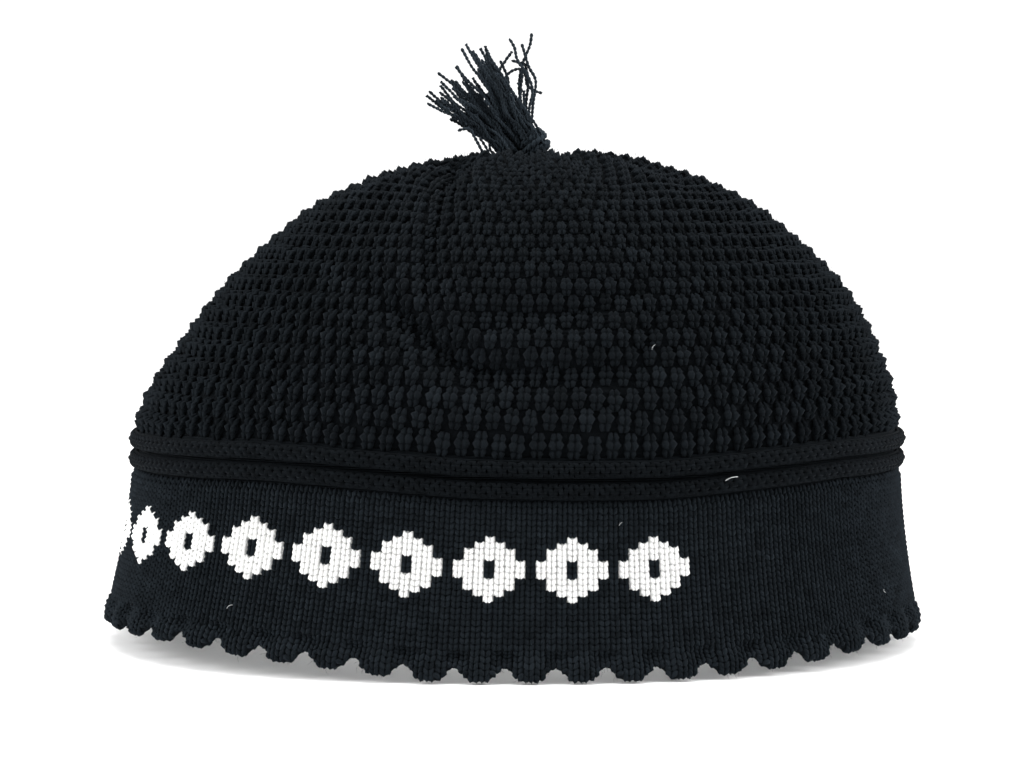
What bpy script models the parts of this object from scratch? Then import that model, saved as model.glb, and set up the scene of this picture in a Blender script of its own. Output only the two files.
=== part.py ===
# A knitted skullcap, opened to the oval of a head and standing on its scalloped hem.
# Metres, +Z up. The origin is on the resting plane, under the middle of the cap, and the
# front is towards -Y. From the hem up: edging, band, two rolled welts, crown, and a tassel
# tied at the crown's gathered top.

import math

import bmesh
import bpy
import numpy as np
from mathutils import Vector

# Plan of the cap, measured over the outside of the hem
HEM_WIDTH = 0.206
HEM_DEPTH = 0.154
PLAN_POWER = 2.25  # 2 is an ellipse, more is squarer
HEM_FLARE = 0.0061  # how far the hem stands out past the top of the band
FLARE_POWER = 1.45
BAND_LEAN = 0.0011  # how far the top of the band leans to the right
HEM_LIFT = 0.0054  # how far the hem arches off the table, at the left

# Heights, from the resting plane up
EDGING_HEIGHT = 0.0076
SCALLOP_RISE = 0.0031
SCALLOPS = 49
SCALLOP_START = 0.6  # where the first scallop starts, as a share of a pitch past the right end
BAND_HEIGHT = 0.0344
WELT_HEIGHT = 0.0046
CROWN_HEIGHT = 0.0714

# Knitted walls
BAND_WALL = 0.0024
CROWN_WALL = 0.0032
WELT_PROUD = 0.0010  # how far a welt stands out past the band
WELT_RISE = 0.0021  # how far the welts rise at the highest place of their wave
WAVE_FADE = 0.45  # share of the crown's height over which the wave dies out
GAP = 0.0003

# Form of the crown
CROWN_LEAN = 0.0062
GATHER_DEPTH = 0.0016
GATHERS = 11
CREASE_DEPTH = 0.0038
CREASE_WIDTH = 0.0055

# Tassel
KNOT_WIDTH = 0.0072
KNOT_HEIGHT = 0.0074
HEAD_WIDTH = 0.0104
HEAD_DEPTH = 0.0086
HEAD_HEIGHT = 0.0092
HEAD_SIDE = 0.0056  # how far left of the knot the tassel's head lies
HEAD_RISE = 0.0031  # and how far above the knot's middle
TASSEL_LENGTH = 0.0252  # from the middle of the head to a full-length tip
LOCK_WIDTH = 0.0034
LOCK_TIP = 0.38  # width of a lock at its tip, as a share of LOCK_WIDTH

# Fineness of the meshes
COLUMNS = 88
CROWN_RINGS = 15
WELT_POINTS = 60
LOCK_POINTS = 6
LOCK_SIDES_STEP = 1  # bevel resolution of a lock: six sides
WELT_SIDES_STEP = 2  # bevel resolution of a welt: eight sides
BALL_SEGMENTS = 14
BALL_RINGS = 8
PLAN_SAMPLES = 2881  # points that the hem's length round is measured on
SHARP_ANGLE = math.radians(50)  # edges that fold more than this stay sharp
SAME_PLACE = 0.00001  # corners nearer than this are one

BLACK = (0.011, 0.013, 0.016)  # colour of the yarn

# Sections of the crown, from its rim to its top: height as a share of CROWN_HEIGHT, width
# and depth as shares of the top of the band, lean as a share of CROWN_LEAN, and how much
# of GATHER_DEPTH the gathers take there.
CROWN_SECTIONS = (
    # up, width, depth, lean, gather
    (0.000, 0.992, 0.988, 0.18, 0.00),
    (0.100, 0.975, 0.971, 0.31, 0.00),
    (0.200, 0.946, 0.942, 0.48, 0.00),
    (0.300, 0.907, 0.905, 0.65, 0.00),
    (0.410, 0.859, 0.856, 0.80, 0.00),
    (0.520, 0.800, 0.799, 0.90, 0.02),
    (0.620, 0.730, 0.736, 0.93, 0.10),
    (0.720, 0.648, 0.656, 0.95, 0.25),
    (0.815, 0.551, 0.560, 0.97, 0.45),
    (0.890, 0.434, 0.446, 0.98, 0.70),
    (0.950, 0.302, 0.318, 1.00, 0.95),
    (0.982, 0.205, 0.220, 1.00, 1.00),
    (0.984, 0.130, 0.150, 1.00, 0.80),
    (0.958, 0.070, 0.085, 1.00, 0.25),
    (0.944, 0.000, 0.000, 1.00, 0.00),
)

# How far the hem arches up off the table: across as a share of half the hem's width, lift
# as a share of HEM_LIFT. It rests on the middle of the front and of the back.
HEM_ARCH = (
    # across, lift
    (-1.00, 0.96),
    (-0.80, 1.00),
    (-0.68, 0.87),
    (-0.60, 0.70),
    (-0.45, 0.51),
    (-0.35, 0.34),
    (-0.25, 0.14),
    (-0.17, 0.00),
    (0.32, 0.00),
    (0.44, 0.08),
    (0.57, 0.21),
    (0.69, 0.37),
    (0.82, 0.62),
    (1.00, 0.62),
)

# The soft band lets the welts dip in the middle and rise beside it: across as a share of half
# the band's top width, rise as a share of WELT_RISE.
WELT_WAVE = (
    # across, rise
    (-1.00, 0.45),
    (-0.84, 0.68),
    (-0.62, 1.00),
    (-0.48, 0.78),
    (-0.35, 0.40),
    (-0.12, -0.38),
    (0.12, -0.66),
    (0.35, -0.64),
    (0.46, -0.36),
    (0.58, 0.06),
    (0.81, 0.72),
    (1.00, 0.58),
)

# Creases of the crown as seen from the front: across as a share of half the band's top
# width, up as a share of CROWN_HEIGHT, deep as a share of CREASE_DEPTH.
FRONT_CREASES = (
    # (across, up, deep) along each crease
    (
        (-0.34, 0.52, 0.35),
        (-0.30, 0.47, 0.60),
        (-0.24, 0.405, 0.90),
        (-0.16, 0.31, 1.00),
        (-0.075, 0.26, 1.00),
        (0.00, 0.255, 0.75),
        (0.15, 0.25, 0.40),
        (0.30, 0.26, 0.30),
        (0.36, 0.46, 0.25),
    ),
    ((-0.08, 0.425, 0.35), (0.155, 0.447, 0.45), (0.31, 0.52, 0.25)),
    ((-0.15, 0.97, 0.80), (-0.185, 0.765, 0.50), (-0.21, 0.59, 0.50), (-0.215, 0.475, 0.30)),
)
BACK_CREASES = (
    ((-0.40, 0.34, 0.35), (-0.12, 0.42, 0.55), (0.20, 0.37, 0.35)),
    ((0.26, 0.88, 0.30), (0.30, 0.66, 0.45), (0.36, 0.50, 0.25)),
)

# One scallop of the hem: along as a share of its pitch, rise as a share of SCALLOP_RISE.
SCALLOP_OUTLINE = (
    # along, rise
    (0.00, 1.00),
    (0.19, 0.36),
    (0.36, 0.00),
    (0.64, 0.00),
    (0.81, 0.36),
)

# Locks of the tassel: lean is degrees from upright, minus to the left; forward is degrees
# towards the front; long is a share of TASSEL_LENGTH; sag bends the lock outwards.
TASSEL_LOCKS = (
    # lean, forward, long, sag
    (-68.0, 4.0, 0.96, 0.10),
    (-60.0, -16.0, 0.92, 0.10),
    (-55.0, 14.0, 0.98, 0.09),
    (-49.0, -2.0, 0.98, 0.08),
    (-43.0, 18.0, 0.88, 0.07),
    (-38.0, -18.0, 0.90, 0.06),
    (-33.0, 4.0, 1.02, 0.05),
    (-27.0, -10.0, 1.04, 0.04),
    (-22.0, 17.0, 0.94, 0.02),
    (-15.0, -18.0, 0.86, 0.00),
    (-9.0, 5.0, 0.82, -0.02),
    (-3.0, -12.0, 0.92, -0.05),
    (4.0, 14.0, 0.90, -0.07),
    (11.0, -4.0, 0.98, -0.10),
    (27.0, 6.0, 0.54, -0.06),
)


def clear_scene():
    for thing in list(bpy.data.objects):
        bpy.data.objects.remove(thing, do_unlink=True)


def make_collection(name):
    collection = bpy.data.collections.new(name)
    bpy.context.scene.collection.children.link(collection)
    return collection


def make_material(name, colour, roughness):
    material = bpy.data.materials.new(name)
    material.use_nodes = True
    shader = material.node_tree.nodes["Principled BSDF"]
    shader.inputs["Base Color"].default_value = (*colour, 1.0)
    shader.inputs["Roughness"].default_value = roughness
    shader.inputs["Metallic"].default_value = 0.0
    return material


def band_foot():
    return EDGING_HEIGHT + GAP


def band_top():
    return band_foot() + BAND_HEIGHT


def welt_middle(number):
    return band_top() + GAP + WELT_HEIGHT / 2 + number * (WELT_HEIGHT + GAP)


def crown_foot():
    return welt_middle(1) + WELT_HEIGHT / 2 + GAP


def top_half_width():
    return HEM_WIDTH / 2 - HEM_FLARE


def top_half_depth():
    return HEM_DEPTH / 2 - HEM_FLARE


def plan_point(angle, half_width, half_depth):
    """Point of a rounded oval in the direction of angle."""
    cosine, sine = math.cos(angle), math.sin(angle)
    across = abs(cosine / half_width) ** PLAN_POWER
    along = abs(sine / half_depth) ** PLAN_POWER
    reach = (across + along) ** (-1 / PLAN_POWER)
    return reach * cosine, reach * sine


def even_angles(shares):
    """Angles at which the hem's plan is at the given shares of its length round."""
    samples = np.linspace(0.0, 2 * math.pi, PLAN_SAMPLES)
    points = np.array([plan_point(a, HEM_WIDTH / 2, HEM_DEPTH / 2) for a in samples])
    steps = np.hypot(*np.diff(points, axis=0).T)
    along = np.concatenate(([0.0], np.cumsum(steps))) / steps.sum()
    return np.interp(np.mod(shares, 1.0), along, samples)


def flare_at(height):
    """How far the wall stands out past the top of the band at this height."""
    left = max(0.0, 1.0 - height / band_top())
    return HEM_FLARE * left**FLARE_POWER


def lift_at(angle):
    """How far the hem arches up at this angle."""
    x, y = plan_point(angle, HEM_WIDTH / 2, HEM_DEPTH / 2)
    across, lift = zip(*HEM_ARCH)
    return HEM_LIFT * float(np.interp(x / (HEM_WIDTH / 2), across, lift))


def wave_at(x):
    """How far the welts rise, or dip, at this place across the cap."""
    across, rise = zip(*WELT_WAVE)
    return WELT_RISE * float(np.interp(x / top_half_width(), across, rise))


def wall_point(angle, height, inset):
    """Point on the band's or the edging's wall, inset from the outside."""
    out = flare_at(height) - inset
    x, y = plan_point(angle, top_half_width() + out, top_half_depth() + out)
    share = height / band_top()
    x += share * BAND_LEAN
    return Vector((x, y, height + lift_at(angle) * (1.0 - share) + wave_at(x) * share))


def smooth_row(table, share):
    """A row of the table at share of its length, on a smooth curve through all rows."""
    rows = np.array(table)
    place = share * (len(rows) - 1)
    low = min(int(place), len(rows) - 2)
    t = place - low
    before, here, there, after = (rows[min(max(low + k, 0), len(rows) - 1)] for k in (-1, 0, 1, 2))
    slope_here = (there - before) / 2
    slope_there = (after - here) / 2
    blend_here = (1 + 2 * t) * (1 - t) ** 2
    blend_there = t * t * (3 - 2 * t)
    return (
        blend_here * here
        + blend_there * there
        + t * (1 - t) ** 2 * slope_here
        + t * t * (t - 1) * slope_there
    )


def crease_depth(point, creases):
    """How deep the creases press the crown at this point, seen from the front."""
    seen = np.array((point.x, point.z))
    deepest = 0.0
    for crease in creases:
        places = [
            np.array((across * top_half_width(), crown_foot() + up * CROWN_HEIGHT))
            for across, up, deep in crease
        ]
        for k in range(len(crease) - 1):
            run = places[k + 1] - places[k]
            t = min(max(np.dot(seen - places[k], run) / np.dot(run, run), 0.0), 1.0)
            away = np.linalg.norm(seen - places[k] - t * run)
            deep = (1 - t) * crease[k][2] + t * crease[k + 1][2]
            deepest = max(deepest, deep * math.exp(-((away / CREASE_WIDTH) ** 2)))
    return CREASE_DEPTH * float(deepest)


def crown_facing(share):
    """Which way the crown's outer face looks in its section: outwards and up."""
    if share <= 0.0:
        return 1.0, 0.0
    step = 0.5 / CROWN_RINGS
    below = smooth_row(CROWN_SECTIONS, max(share - step, 0.0))
    above = smooth_row(CROWN_SECTIONS, min(share + step, 1.0))
    inward = (below[1] - above[1]) * top_half_width()
    rise = (above[0] - below[0]) * CROWN_HEIGHT
    length = math.hypot(inward, rise)
    return rise / length, inward / length


def crown_point(share, angle, turn, inset):
    """Point on the crown. Inset is measured in from the outer face, turn is 0 to 1 round."""
    up, width, depth, lean, gather = (float(value) for value in smooth_row(CROWN_SECTIONS, share))
    out, upward = crown_facing(share)
    lean_x = lean * CROWN_LEAN
    height = crown_foot() + up * CROWN_HEIGHT
    outer = Vector((lean_x, 0.0, height))
    point = Vector((lean_x, 0.0, height - inset * upward))
    if share < 1.0:
        half_width = width * top_half_width()
        half_depth = depth * top_half_depth()
        outer.xy = Vector(plan_point(angle, half_width, half_depth)) + outer.xy
        half_width -= inset * out
        half_depth -= inset * out
        point.xy = Vector(plan_point(angle, half_width, half_depth)) + point.xy
    fold = 0.5 + 0.5 * math.cos(2 * math.pi * GATHERS * turn)
    press = gather * fold * GATHER_DEPTH
    press += crease_depth(outer, FRONT_CREASES if outer.y < 0 else BACK_CREASES)
    heart = Vector((lean_x, 0.0, crown_foot()))
    point += press * (heart - outer).normalized()
    point.z += wave_at(outer.x) * max(0.0, 1.0 - up / WAVE_FADE) ** 2
    return point


def loft(name, rings, collection, material, first_pole=None, last_pole=None):
    """A closed surface through rings of points. It ends in poles, or joins back on itself."""
    shape = bmesh.new()
    verts = [[shape.verts.new(p) for p in ring] for ring in rings]
    count = len(rings[0])
    pairs = list(zip(verts, verts[1:]))
    if first_pole is None:
        pairs.append((verts[-1], verts[0]))
    for low, high in pairs:
        for j in range(count):
            k = (j + 1) % count
            shape.faces.new((low[j], low[k], high[k], high[j]))
    if first_pole is not None:
        foot = shape.verts.new(first_pole)
        top = shape.verts.new(last_pole)
        for j in range(count):
            k = (j + 1) % count
            shape.faces.new((foot, verts[0][k], verts[0][j]))
            shape.faces.new((verts[-1][j], verts[-1][k], top))
    mesh = bpy.data.meshes.new(name)
    shape.to_mesh(mesh)
    shape.free()
    mesh.shade_smooth()
    mesh.set_sharp_from_angle(angle=SHARP_ANGLE)
    return add_object(name, mesh, collection, material)


def add_object(name, data, collection, material):
    thing = bpy.data.objects.new(name, data)
    data.materials.append(material)
    collection.objects.link(thing)
    return thing


def make_edging(collection, material):
    """The shell-shaped hem: a short wall whose lower edge rises between the scallops."""
    shares = []
    rises = []
    for number in range(SCALLOPS):
        for along, rise in SCALLOP_OUTLINE:
            shares.append((number + along + SCALLOP_START) / SCALLOPS)
            rises.append(rise * SCALLOP_RISE)
    angles = even_angles(shares)
    middle = (SCALLOP_RISE + EDGING_HEIGHT) / 2
    rings = (
        [wall_point(a, rise, 0.0) for a, rise in zip(angles, rises)],
        [wall_point(a, middle, 0.0) for a in angles],
        [wall_point(a, EDGING_HEIGHT, 0.0) for a in angles],
        [wall_point(a, EDGING_HEIGHT, BAND_WALL) for a in angles],
        [wall_point(a, rise, BAND_WALL) for a, rise in zip(angles, rises)],
    )
    return loft("scallop_edging", rings, collection, material)


def make_band(collection, material):
    """The plain band, flaring towards the hem."""
    angles = even_angles(np.arange(COLUMNS) / COLUMNS)
    middle = (band_foot() + band_top()) / 2
    outside = [[wall_point(a, z, 0.0) for a in angles] for z in (band_foot(), middle, band_top())]
    inside = [
        [wall_point(a, z, BAND_WALL) for a in angles] for z in (band_top(), middle, band_foot())
    ]
    return loft("band", outside + inside, collection, material)


def make_welt(name, number, collection, material):
    """A rolled ridge that runs all the way round between the band and the crown."""
    out = WELT_PROUD - WELT_HEIGHT / 2
    curve = bpy.data.curves.new(name, "CURVE")
    curve.dimensions = "3D"
    curve.twist_mode = "Z_UP"
    curve.bevel_depth = WELT_HEIGHT / 2
    curve.bevel_resolution = WELT_SIDES_STEP
    line = curve.splines.new("POLY")
    line.points.add(WELT_POINTS - 1)
    line.use_cyclic_u = True
    for point, angle in zip(line.points, even_angles(np.arange(WELT_POINTS) / WELT_POINTS)):
        x, y = plan_point(angle, top_half_width() + out, top_half_depth() + out)
        x += BAND_LEAN
        point.co = (x, y, welt_middle(number) + wave_at(x), 1.0)
    return add_object(name, curve, collection, material)


def make_crown(collection, material):
    """The hollow dome, gathered at its top, with the creases of a soft cap."""
    turns = np.arange(COLUMNS) / COLUMNS
    angles = even_angles(turns)
    shares = np.linspace(0.0, 1.0, CROWN_RINGS + 1)

    def ring(share, inset):
        return [crown_point(share, a, turn, inset) for a, turn in zip(angles, turns)]

    # The inside ends two rings below the top, where the wall fills the gathered middle
    inside = [ring(share, CROWN_WALL) for share in shares[-3::-1]]
    outside = [ring(share, 0.0) for share in shares[:-1]]
    return loft(
        "crown",
        inside + outside,
        collection,
        material,
        first_pole=crown_point(1.0, 0.0, 0.0, CROWN_WALL),
        last_pole=crown_point(1.0, 0.0, 0.0, 0.0),
    )


def knot_middle():
    """Middle of the knot, which sits in the hollow at the crown's top."""
    seat = crown_point(1.0, 0.0, 0.0, 0.0)
    return seat + Vector((0.0, 0.0, GAP + KNOT_HEIGHT / 2))


def head_middle():
    """Middle of the tassel's head, beside the knot and over it."""
    return knot_middle() + Vector((-HEAD_SIDE, 0.0, HEAD_RISE))


def tassel_direction(lean, forward):
    """Unit vector at lean degrees to the right of upright and forward degrees to the front."""
    lean, forward = math.radians(lean), math.radians(forward)
    return Vector(
        (math.sin(lean) * math.cos(forward), -math.sin(forward), math.cos(lean) * math.cos(forward))
    )


def add_ball(name, width, depth, height, middle):
    """A rounded lump of yarn, as a mesh."""
    shape = bmesh.new()
    bmesh.ops.create_uvsphere(shape, u_segments=BALL_SEGMENTS, v_segments=BALL_RINGS, radius=0.5)
    bmesh.ops.scale(shape, vec=(width, depth, height), verts=shape.verts)
    bmesh.ops.translate(shape, vec=middle, verts=shape.verts)
    mesh = bpy.data.meshes.new(name)
    shape.to_mesh(mesh)
    shape.free()
    mesh.shade_smooth()
    return mesh


def make_knot(collection, material):
    """The tied knot at the tassel's root."""
    mesh = add_ball("tassel_knot", KNOT_WIDTH, KNOT_WIDTH, KNOT_HEIGHT, knot_middle())
    return add_object("tassel_knot", mesh, collection, material)


def lock_path(lean, forward, long, sag):
    """Points of one lock, from inside the head to its tip."""
    start = head_middle()
    tip = start + tassel_direction(lean, forward) * TASSEL_LENGTH * long
    bend = start.lerp(tip, 0.5) + Vector((0.0, 0.0, sag * TASSEL_LENGTH))
    points = []
    for k in range(LOCK_POINTS):
        t = k / (LOCK_POINTS - 1)
        points.append((1 - t) ** 2 * start + 2 * t * (1 - t) * bend + t * t * tip)
    return points


def make_lock(name, row, collection):
    """One lock as a closed tapered tube, to be fused to the head."""
    curve = bpy.data.curves.new(name, "CURVE")
    curve.dimensions = "3D"
    curve.bevel_depth = LOCK_WIDTH / 2
    curve.bevel_resolution = LOCK_SIDES_STEP
    curve.use_fill_caps = True
    path = lock_path(*row)
    line = curve.splines.new("POLY")
    line.points.add(len(path) - 1)
    for k, (point, place) in enumerate(zip(line.points, path)):
        point.co = (*place, 1.0)
        point.radius = 1.0 - (1.0 - LOCK_TIP) * k / (len(path) - 1)
    tube = bpy.data.objects.new(name + "_line", curve)
    collection.objects.link(tube)
    bpy.context.view_layer.update()
    evaluated = tube.evaluated_get(bpy.context.evaluated_depsgraph_get())
    mesh = bpy.data.meshes.new_from_object(evaluated)
    lock = bpy.data.objects.new(name, mesh)
    lock.matrix_world = tube.matrix_world
    bpy.data.objects.remove(tube, do_unlink=True)
    shape = bmesh.new()
    shape.from_mesh(mesh)
    bmesh.ops.remove_doubles(shape, verts=shape.verts, dist=SAME_PLACE)
    shape.to_mesh(mesh)
    shape.free()
    collection.objects.link(lock)
    lock.hide_render = True
    lock.display_type = "WIRE"
    return lock


def make_tassel(collection, shapes, material):
    """The tassel's outer form: a head with locks of yarn fused to it, clear of the knot."""
    locks = make_collection("tassel_locks")
    for number, row in enumerate(TASSEL_LOCKS):
        make_lock(f"lock_{number + 1:02d}", row, locks)
    mesh = add_ball("tassel", HEAD_WIDTH, HEAD_DEPTH, HEAD_HEIGHT, head_middle())
    head = add_object("tassel", mesh, collection, material)
    fuse = head.modifiers.new("fuse_locks", "BOOLEAN")
    fuse.operation = "UNION"
    fuse.operand_type = "COLLECTION"
    fuse.collection = locks
    fuse.solver = "EXACT"
    width = KNOT_WIDTH + 2 * GAP
    height = KNOT_HEIGHT + 2 * GAP
    room = add_object(
        "knot_room",
        add_ball("knot_room", width, width, height, knot_middle()),
        shapes,
        material,
    )
    room.hide_render = True
    room.display_type = "WIRE"
    clear = head.modifiers.new("clear_of_knot", "BOOLEAN")
    clear.operation = "DIFFERENCE"
    clear.object = room
    clear.solver = "EXACT"
    return head


def main():
    clear_scene()
    cap = make_collection("knitted_skullcap")
    shapes = make_collection("cutters")
    make_edging(cap, make_material("edging_yarn", BLACK, 0.92))
    make_band(cap, make_material("band_knit", BLACK, 0.90))
    make_welt("lower_welt", 0, cap, make_material("lower_welt_knit", BLACK, 0.90))
    make_welt("upper_welt", 1, cap, make_material("upper_welt_knit", BLACK, 0.90))
    make_crown(cap, make_material("crown_bobble_knit", BLACK, 0.94))
    make_knot(cap, make_material("knot_yarn", BLACK, 0.85))
    make_tassel(cap, shapes, make_material("tassel_yarn", BLACK, 0.80))


main()
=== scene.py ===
import math

import bpy
import numpy as np
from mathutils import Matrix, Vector


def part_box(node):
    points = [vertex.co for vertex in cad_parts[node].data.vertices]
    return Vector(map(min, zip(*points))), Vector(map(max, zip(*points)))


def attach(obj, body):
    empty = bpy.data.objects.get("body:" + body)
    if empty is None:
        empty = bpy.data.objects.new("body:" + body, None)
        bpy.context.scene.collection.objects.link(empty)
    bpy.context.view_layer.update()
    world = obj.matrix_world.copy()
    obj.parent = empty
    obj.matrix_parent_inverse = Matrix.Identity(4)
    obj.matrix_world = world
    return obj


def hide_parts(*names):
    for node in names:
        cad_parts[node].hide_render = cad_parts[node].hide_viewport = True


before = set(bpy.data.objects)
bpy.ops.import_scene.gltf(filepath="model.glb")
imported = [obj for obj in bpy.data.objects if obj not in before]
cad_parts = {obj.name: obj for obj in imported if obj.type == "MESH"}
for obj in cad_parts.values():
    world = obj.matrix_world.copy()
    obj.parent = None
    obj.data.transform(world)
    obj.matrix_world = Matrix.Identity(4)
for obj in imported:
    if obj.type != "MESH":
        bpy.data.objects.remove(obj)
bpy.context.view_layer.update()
print("frame loaded:", sorted(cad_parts))

# Shape of the cap, the same sizes as its solids have, in metres
capShape = {
    "hemWidth": 0.206,
    "hemDepth": 0.154,
    "planPower": 2.25,
    "hemFlare": 0.0061,
    "flarePower": 1.45,
    "bandLean": 0.0011,
    "hemLift": 0.0054,
    "edgingHeight": 0.0076,
    "scallopRise": 0.0031,
    "scallops": 49,
    "scallopStart": 0.6,
    "bandHeight": 0.0344,
    "weltHeight": 0.0046,
    "crownHeight": 0.0714,
    "bandWall": 0.0024,
    "crownWall": 0.0032,
    "weltProud": 0.0010,
    "weltRise": 0.0021,
    "waveFade": 0.45,
    "gap": 0.0003,
    "crownLean": 0.0062,
    "gatherDepth": 0.0016,
    "gathers": 11,
    "creaseDepth": 0.0038,
    "creaseWidth": 0.0055,
    "creaseCore": 0.0016,  # the sharp fold in the middle of a crease
    "creaseCoreWidth": 0.0019,
    "creaseMeet": 0.020,  # how far over the top the front's creases fade into the back's
    "pressAcross": 0.7,  # folds are pressed towards this share of the way out
    "pressUp": 0.6,  # and this share of the way up from the crown's foot
    "planSamples": 2881,  # points that the hem's length round is measured on
}

crownSections = (
    # up, width, depth, lean, gather
    (0.000, 0.992, 0.988, 0.18, 0.00),
    (0.100, 0.975, 0.971, 0.31, 0.00),
    (0.200, 0.946, 0.942, 0.48, 0.00),
    (0.300, 0.907, 0.905, 0.65, 0.00),
    (0.410, 0.859, 0.856, 0.80, 0.00),
    (0.520, 0.800, 0.799, 0.90, 0.02),
    (0.620, 0.730, 0.736, 0.93, 0.10),
    (0.720, 0.648, 0.656, 0.95, 0.25),
    (0.815, 0.551, 0.560, 0.97, 0.45),
    (0.890, 0.434, 0.446, 0.98, 0.70),
    (0.950, 0.302, 0.318, 1.00, 0.95),
    (0.982, 0.205, 0.220, 1.00, 1.00),
    (0.984, 0.130, 0.150, 1.00, 0.80),
    (0.958, 0.070, 0.085, 1.00, 0.25),
    (0.944, 0.000, 0.000, 1.00, 0.00),
)

hemArch = (
    # across, lift
    (-1.00, 0.96),
    (-0.80, 1.00),
    (-0.68, 0.87),
    (-0.60, 0.70),
    (-0.45, 0.51),
    (-0.35, 0.34),
    (-0.25, 0.14),
    (-0.17, 0.00),
    (0.32, 0.00),
    (0.44, 0.08),
    (0.57, 0.21),
    (0.69, 0.37),
    (0.82, 0.62),
    (1.00, 0.62),
)

weltWave = (
    # across, rise
    (-1.00, 0.45),
    (-0.84, 0.68),
    (-0.62, 1.00),
    (-0.48, 0.78),
    (-0.35, 0.40),
    (-0.12, -0.38),
    (0.12, -0.66),
    (0.35, -0.64),
    (0.46, -0.36),
    (0.58, 0.06),
    (0.81, 0.72),
    (1.00, 0.58),
)

frontCreases = (
    # (across, up, deep) along each crease
    (
        (-0.34, 0.52, 0.35),
        (-0.30, 0.47, 0.60),
        (-0.24, 0.405, 0.90),
        (-0.16, 0.31, 1.00),
        (-0.075, 0.26, 1.00),
        (0.00, 0.255, 0.75),
        (0.15, 0.25, 0.40),
        (0.30, 0.26, 0.30),
        (0.36, 0.46, 0.25),
    ),
    ((-0.08, 0.425, 0.35), (0.155, 0.447, 0.45), (0.31, 0.52, 0.25)),
    ((-0.15, 0.97, 0.80), (-0.185, 0.765, 0.50), (-0.21, 0.59, 0.50), (-0.215, 0.475, 0.30)),
)
backCreases = (
    ((-0.40, 0.34, 0.35), (-0.12, 0.42, 0.55), (0.20, 0.37, 0.35)),
    ((0.26, 0.88, 0.30), (0.30, 0.66, 0.45), (0.36, 0.50, 0.25)),
)

bandFoot = capShape["edgingHeight"] + capShape["gap"]
bandTop = bandFoot + capShape["bandHeight"]
lowerWeltUp = bandTop + capShape["gap"] + capShape["weltHeight"] / 2
upperWeltUp = lowerWeltUp + capShape["weltHeight"] + capShape["gap"]
crownFoot = upperWeltUp + capShape["weltHeight"] / 2 + capShape["gap"]
topHalfWidth = capShape["hemWidth"] / 2 - capShape["hemFlare"]
topHalfDepth = capShape["hemDepth"] / 2 - capShape["hemFlare"]
fullTurn = 2 * math.pi


def unit(rows):
    return rows / np.maximum(np.linalg.norm(rows, axis=-1, keepdims=True), 1e-12)


# Rows of a table at these places, on a smooth curve through all its rows
def smoothRows(rows, place):
    rows = np.asarray(rows, float)
    low = np.minimum(place.astype(int), len(rows) - 2)
    t = (place - low)[..., None]
    before, here, there, after = (rows[np.clip(low + k, 0, len(rows) - 1)] for k in (-1, 0, 1, 2))
    blendHere = (1 + 2 * t) * (1 - t) ** 2
    blendThere = t * t * (3 - 2 * t)
    bendHere = t * (1 - t) ** 2 * (there - before) / 2
    bendThere = t * t * (t - 1) * (after - here) / 2
    return blendHere * here + blendThere * there + bendHere + bendThere


# The cap's surfaces. A turn is 0 to 1 round, from the right end by way of the back;
# out is how far a point stands off the outer face.
def planPoints(angles, halfWidth, halfDepth):
    power = capShape["planPower"]
    across = abs(np.cos(angles) / halfWidth) ** power
    along = abs(np.sin(angles) / halfDepth) ** power
    reach = (across + along) ** (-1 / power)
    return reach * np.cos(angles), reach * np.sin(angles)


sampleAngles = np.linspace(0.0, fullTurn, capShape["planSamples"])
hemX, hemY = planPoints(sampleAngles, capShape["hemWidth"] / 2, capShape["hemDepth"] / 2)
hemSteps = np.hypot(np.diff(hemX), np.diff(hemY))
hemAlong = np.concatenate(([0.0], np.cumsum(hemSteps))) / hemSteps.sum()
hemRound = float(hemSteps.sum())


def anglesAt(turns):
    return np.interp(np.mod(turns, 1.0), hemAlong, sampleAngles)


# Evenly spaced turns round the cap, moved on by a share of their pitch
def turnsOf(count, shift=0.0):
    return (np.arange(count) + shift) / count


def ringOf(pointsOf, level, turns, out):
    return pointsOf(np.full_like(turns, level), turns, out)


def waveAt(x):
    across, rise = np.array(weltWave).T
    return capShape["weltRise"] * np.interp(x / topHalfWidth, across, rise)


def wallPoints(heights, turns, out=0.0):
    angles = anglesAt(turns)
    left = np.clip(1.0 - heights / bandTop, 0.0, None)
    reach = capShape["hemFlare"] * left ** capShape["flarePower"] + out
    x, y = planPoints(angles, topHalfWidth + reach, topHalfDepth + reach)
    hemPlaceX = planPoints(angles, capShape["hemWidth"] / 2, capShape["hemDepth"] / 2)[0]
    archAcross, archLift = np.array(hemArch).T
    lift = capShape["hemLift"] * np.interp(hemPlaceX / (capShape["hemWidth"] / 2), archAcross, archLift)
    share = heights / bandTop
    x = x + share * capShape["bandLean"]
    rise = lift * np.clip(1.0 - share, 0.0, None) + waveAt(x) * np.clip(share, 0.0, 1.0)
    return np.stack([x, y, heights + rise], axis=-1)


edgingForm = {
    "archPower": 3.0,  # more makes the notches narrower
    "notchWiden": 0.045,  # more makes them wider
    "lip": 0.00115,  # radius of the rounded lower edge
    "lipTurn": 2.1,  # how far the stitches follow it under, in radians
    "puff": 0.0008,  # how far a lobe swells
    "puffTall": 0.0068,  # height over which it swells
    "puffFoot": 0.05,  # share of that height below which it swells no less
    "puffPower": 0.8,
    "hollow": 0.0010,  # how far the knit sinks between the lobes
    "hollowUp": 0.0062,
    "hollowTall": 0.0016,
}


def lobePhase(turns):
    phase = turns * capShape["scallops"] - capShape["scallopStart"]
    return np.mod(phase - edgingForm["notchWiden"] * np.sin(fullTurn * phase), 1.0)


def scallopRise(turns):
    arch = (1 + np.cos(fullTurn * lobePhase(turns))) / 2
    return capShape["scallopRise"] * arch ** edgingForm["archPower"]


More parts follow.
